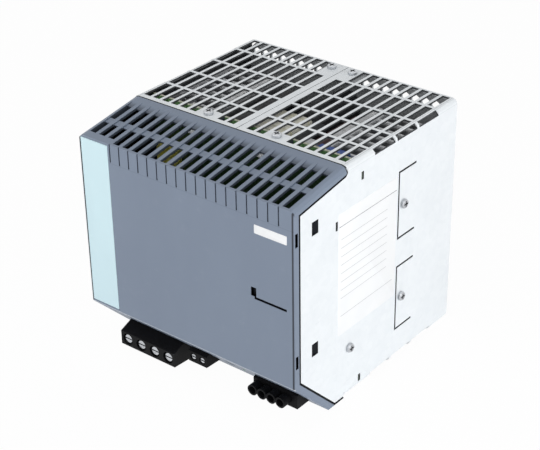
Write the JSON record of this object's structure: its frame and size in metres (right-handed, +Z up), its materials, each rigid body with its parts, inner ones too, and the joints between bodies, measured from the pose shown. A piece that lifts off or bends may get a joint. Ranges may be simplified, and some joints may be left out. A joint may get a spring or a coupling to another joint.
{
  "type": "din rail power supply",
  "caption": "Box-shaped DIN rail power supply: slotted sheet-metal housing, grey plastic front hood with louvres, black screw terminals below and a sprung rail clip at the back.",
  "frame": {"origin": "centre of the bounding box's base", "axes": "+X to the right seen from the front, +Y from the front towards the rail, +Z up"},
  "size_m": [0.1542, 0.159, 0.1471],
  "materials": {
    "zinc_sheet": "zinc plated sheet",
    "hood_plastic": "fine moulded grain",
    "accent_plastic": "satin",
    "screw_steel": "plated",
    "terminal_plastic": "satin",
    "tinned_copper": "tinned",
    "board_laminate": "solder resist",
    "sink_aluminium": "extruded",
    "ferrite": "sintered",
    "winding_tape": "tape",
    "can_sleeve": "shrunk sleeve",
    "film_blue": "gloss",
    "film_yellow": "gloss",
    "rotor_plastic": "satin",
    "light_pipe": "clear green"
  },
  "bodies": {
    "housing": {"accent_strip": "accent_plastic", "back_plate": "zinc_sheet", "bracket_screw_left": "screw_steel", "bracket_screw_right": "screw_steel", "bulk_capacitor": "can_sleeve", "connection_board": "board_laminate", "filter_capacitor_blue": "film_blue", "filter_capacitor_yellow": "film_yellow", "front_hood": "hood_plastic", "input_block": "terminal_plastic", "left_heat_sink": "sink_aluminium", "left_shell": "zinc_sheet", "left_side_screw_lower": "screw_steel", "left_side_screw_lug": "screw_steel", "left_side_screw_upper": "screw_steel", "main_board": "board_laminate", "minus_bus_bar": "tinned_copper", "output_block": "terminal_plastic", "output_capacitor": "can_sleeve", "output_choke": "ferrite", "plus_bus_bar": "tinned_copper", "rail_bracket": "zinc_sheet", "right_heat_sink": "sink_aluminium", "right_shell": "zinc_sheet", "right_side_screw_lower": "screw_steel", "right_side_screw_lug": "screw_steel", "right_side_screw_upper": "screw_steel", "signal_block": "terminal_plastic", "status_light_pipe": "light_pipe", "top_back_screw_left": "screw_steel", "top_back_screw_right": "screw_steel", "top_front_screw_left": "screw_steel", "top_front_screw_right": "screw_steel", "transformer_core": "ferrite", "transformer_winding": "winding_tape", "trimmer_body": "terminal_plastic"},
    "output_screw_1": {"output_screw_1": "screw_steel"},
    "output_cage_1": {"output_cage_1": "zinc_sheet"},
    "output_screw_2": {"output_screw_2": "screw_steel"},
    "output_cage_2": {"output_cage_2": "zinc_sheet"},
    "output_screw_3": {"output_screw_3": "screw_steel"},
    "output_cage_3": {"output_cage_3": "zinc_sheet"},
    "output_screw_4": {"output_screw_4": "screw_steel"},
    "output_cage_4": {"output_cage_4": "zinc_sheet"},
    "signal_screw_1": {"signal_screw_1": "screw_steel"},
    "signal_cage_1": {"signal_cage_1": "zinc_sheet"},
    "signal_screw_2": {"signal_screw_2": "screw_steel"},
    "signal_cage_2": {"signal_cage_2": "zinc_sheet"},
    "input_screw_1": {"input_screw_1": "screw_steel"},
    "input_cage_1": {"input_cage_1": "zinc_sheet"},
    "input_screw_2": {"input_screw_2": "screw_steel"},
    "input_cage_2": {"input_cage_2": "zinc_sheet"},
    "input_screw_3": {"input_screw_3": "screw_steel"},
    "input_cage_3": {"input_cage_3": "zinc_sheet"},
    "input_screw_4": {"input_screw_4": "screw_steel"},
    "input_cage_4": {"input_cage_4": "zinc_sheet"},
    "rail_slider": {"rail_slider": "terminal_plastic"},
    "trimmer_rotor": {"trimmer_rotor": "rotor_plastic"}
  },
  "joints": [
    {"name": "output_screw_1_turn", "type": "hinge", "parent": "housing", "child": "output_screw_1", "pos_m": [-0.0521, -0.0746, 0.0092], "axis": [0, 1, 0], "range_deg": [0, 1646]},
    {"name": "output_cage_1_slide", "type": "slide", "parent": "housing", "child": "output_cage_1", "axis": [0, -1, 0], "range_m": [0, 0.0032]},
    {"name": "output_screw_2_turn", "type": "hinge", "parent": "housing", "child": "output_screw_2", "pos_m": [-0.0416, -0.0746, 0.0092], "axis": [0, 1, 0], "range_deg": [0, 1646]},
    {"name": "output_cage_2_slide", "type": "slide", "parent": "housing", "child": "output_cage_2", "axis": [0, -1, 0], "range_m": [0, 0.0032]},
    {"name": "output_screw_3_turn", "type": "hinge", "parent": "housing", "child": "output_screw_3", "pos_m": [-0.0311, -0.0746, 0.0092], "axis": [0, 1, 0], "range_deg": [0, 1646]},
    {"name": "output_cage_3_slide", "type": "slide", "parent": "housing", "child": "output_cage_3", "axis": [0, -1, 0], "range_m": [0, 0.0032]},
    {"name": "output_screw_4_turn", "type": "hinge", "parent": "housing", "child": "output_screw_4", "pos_m": [-0.0206, -0.0746, 0.0092], "axis": [0, 1, 0], "range_deg": [0, 1646]},
    {"name": "output_cage_4_slide", "type": "slide", "parent": "housing", "child": "output_cage_4", "axis": [0, -1, 0], "range_m": [0, 0.0032]},
    {"name": "signal_screw_1_turn", "type": "hinge", "parent": "housing", "child": "signal_screw_1", "pos_m": [-0.0044, -0.071, 0.0144], "axis": [0, 1, 0], "range_deg": [0, 1080]},
    {"name": "signal_cage_1_slide", "type": "slide", "parent": "housing", "child": "signal_cage_1", "axis": [0, -1, 0], "range_m": [0, 0.0012]},
    {"name": "signal_screw_2_turn", "type": "hinge", "parent": "housing", "child": "signal_screw_2", "pos_m": [0.0022, -0.071, 0.0144], "axis": [0, 1, 0], "range_deg": [0, 1080]},
    {"name": "signal_cage_2_slide", "type": "slide", "parent": "housing", "child": "signal_cage_2", "axis": [0, -1, 0], "range_m": [0, 0.0012]},
    {"name": "input_screw_1_turn", "type": "hinge", "parent": "housing", "child": "input_screw_1", "pos_m": [0.04205, -0.0725, 0.0139], "axis": [0, 1, 0], "range_deg": [0, 1440]},
    {"name": "input_cage_1_slide", "type": "slide", "parent": "housing", "child": "input_cage_1", "axis": [0, -1, 0], "range_m": [0, 0.0016]},
    {"name": "input_screw_2_turn", "type": "hinge", "parent": "housing", "child": "input_screw_2", "pos_m": [0.0485, -0.0725, 0.0139], "axis": [0, 1, 0], "range_deg": [0, 1440]},
    {"name": "input_cage_2_slide", "type": "slide", "parent": "housing", "child": "input_cage_2", "axis": [0, -1, 0], "range_m": [0, 0.0016]},
    {"name": "input_screw_3_turn", "type": "hinge", "parent": "housing", "child": "input_screw_3", "pos_m": [0.05495, -0.0725, 0.0139], "axis": [0, 1, 0], "range_deg": [0, 1440]},
    {"name": "input_cage_3_slide", "type": "slide", "parent": "housing", "child": "input_cage_3", "axis": [0, -1, 0], "range_m": [0, 0.0016]},
    {"name": "input_screw_4_turn", "type": "hinge", "parent": "housing", "child": "input_screw_4", "pos_m": [0.0614, -0.0725, 0.0139], "axis": [0, 1, 0], "range_deg": [0, 1440]},
    {"name": "input_cage_4_slide", "type": "slide", "parent": "housing", "child": "input_cage_4", "axis": [0, -1, 0], "range_m": [0, 0.0016]},
    {"name": "rail_slider_pull", "type": "slide", "parent": "housing", "child": "rail_slider", "axis": [0, 0, -1], "range_m": [0, 0.004], "stiffness_N_per_m": 800, "springref_m": -0.004},
    {"name": "trimmer_turn", "type": "hinge", "parent": "housing", "child": "trimmer_rotor", "pos_m": [0.01915, -0.0571, 0.0175], "axis": [0, 1, 0], "range_deg": [-135, 135]}
  ],
  "couplings": [
    {"joint": "output_screw_1_turn", "follows": "output_cage_1_slide", "rad_per_m": 8975.9},
    {"joint": "output_screw_2_turn", "follows": "output_cage_2_slide", "rad_per_m": 8975.9},
    {"joint": "output_screw_3_turn", "follows": "output_cage_3_slide", "rad_per_m": 8975.9},
    {"joint": "output_screw_4_turn", "follows": "output_cage_4_slide", "rad_per_m": 8975.9},
    {"joint": "signal_screw_1_turn", "follows": "signal_cage_1_slide", "rad_per_m": 15708},
    {"joint": "signal_screw_2_turn", "follows": "signal_cage_2_slide", "rad_per_m": 15708},
    {"joint": "input_screw_1_turn", "follows": "input_cage_1_slide", "rad_per_m": 15708},
    {"joint": "input_screw_2_turn", "follows": "input_cage_2_slide", "rad_per_m": 15708},
    {"joint": "input_screw_3_turn", "follows": "input_cage_3_slide", "rad_per_m": 15708},
    {"joint": "input_screw_4_turn", "follows": "input_cage_4_slide", "rad_per_m": 15708}
  ]
}
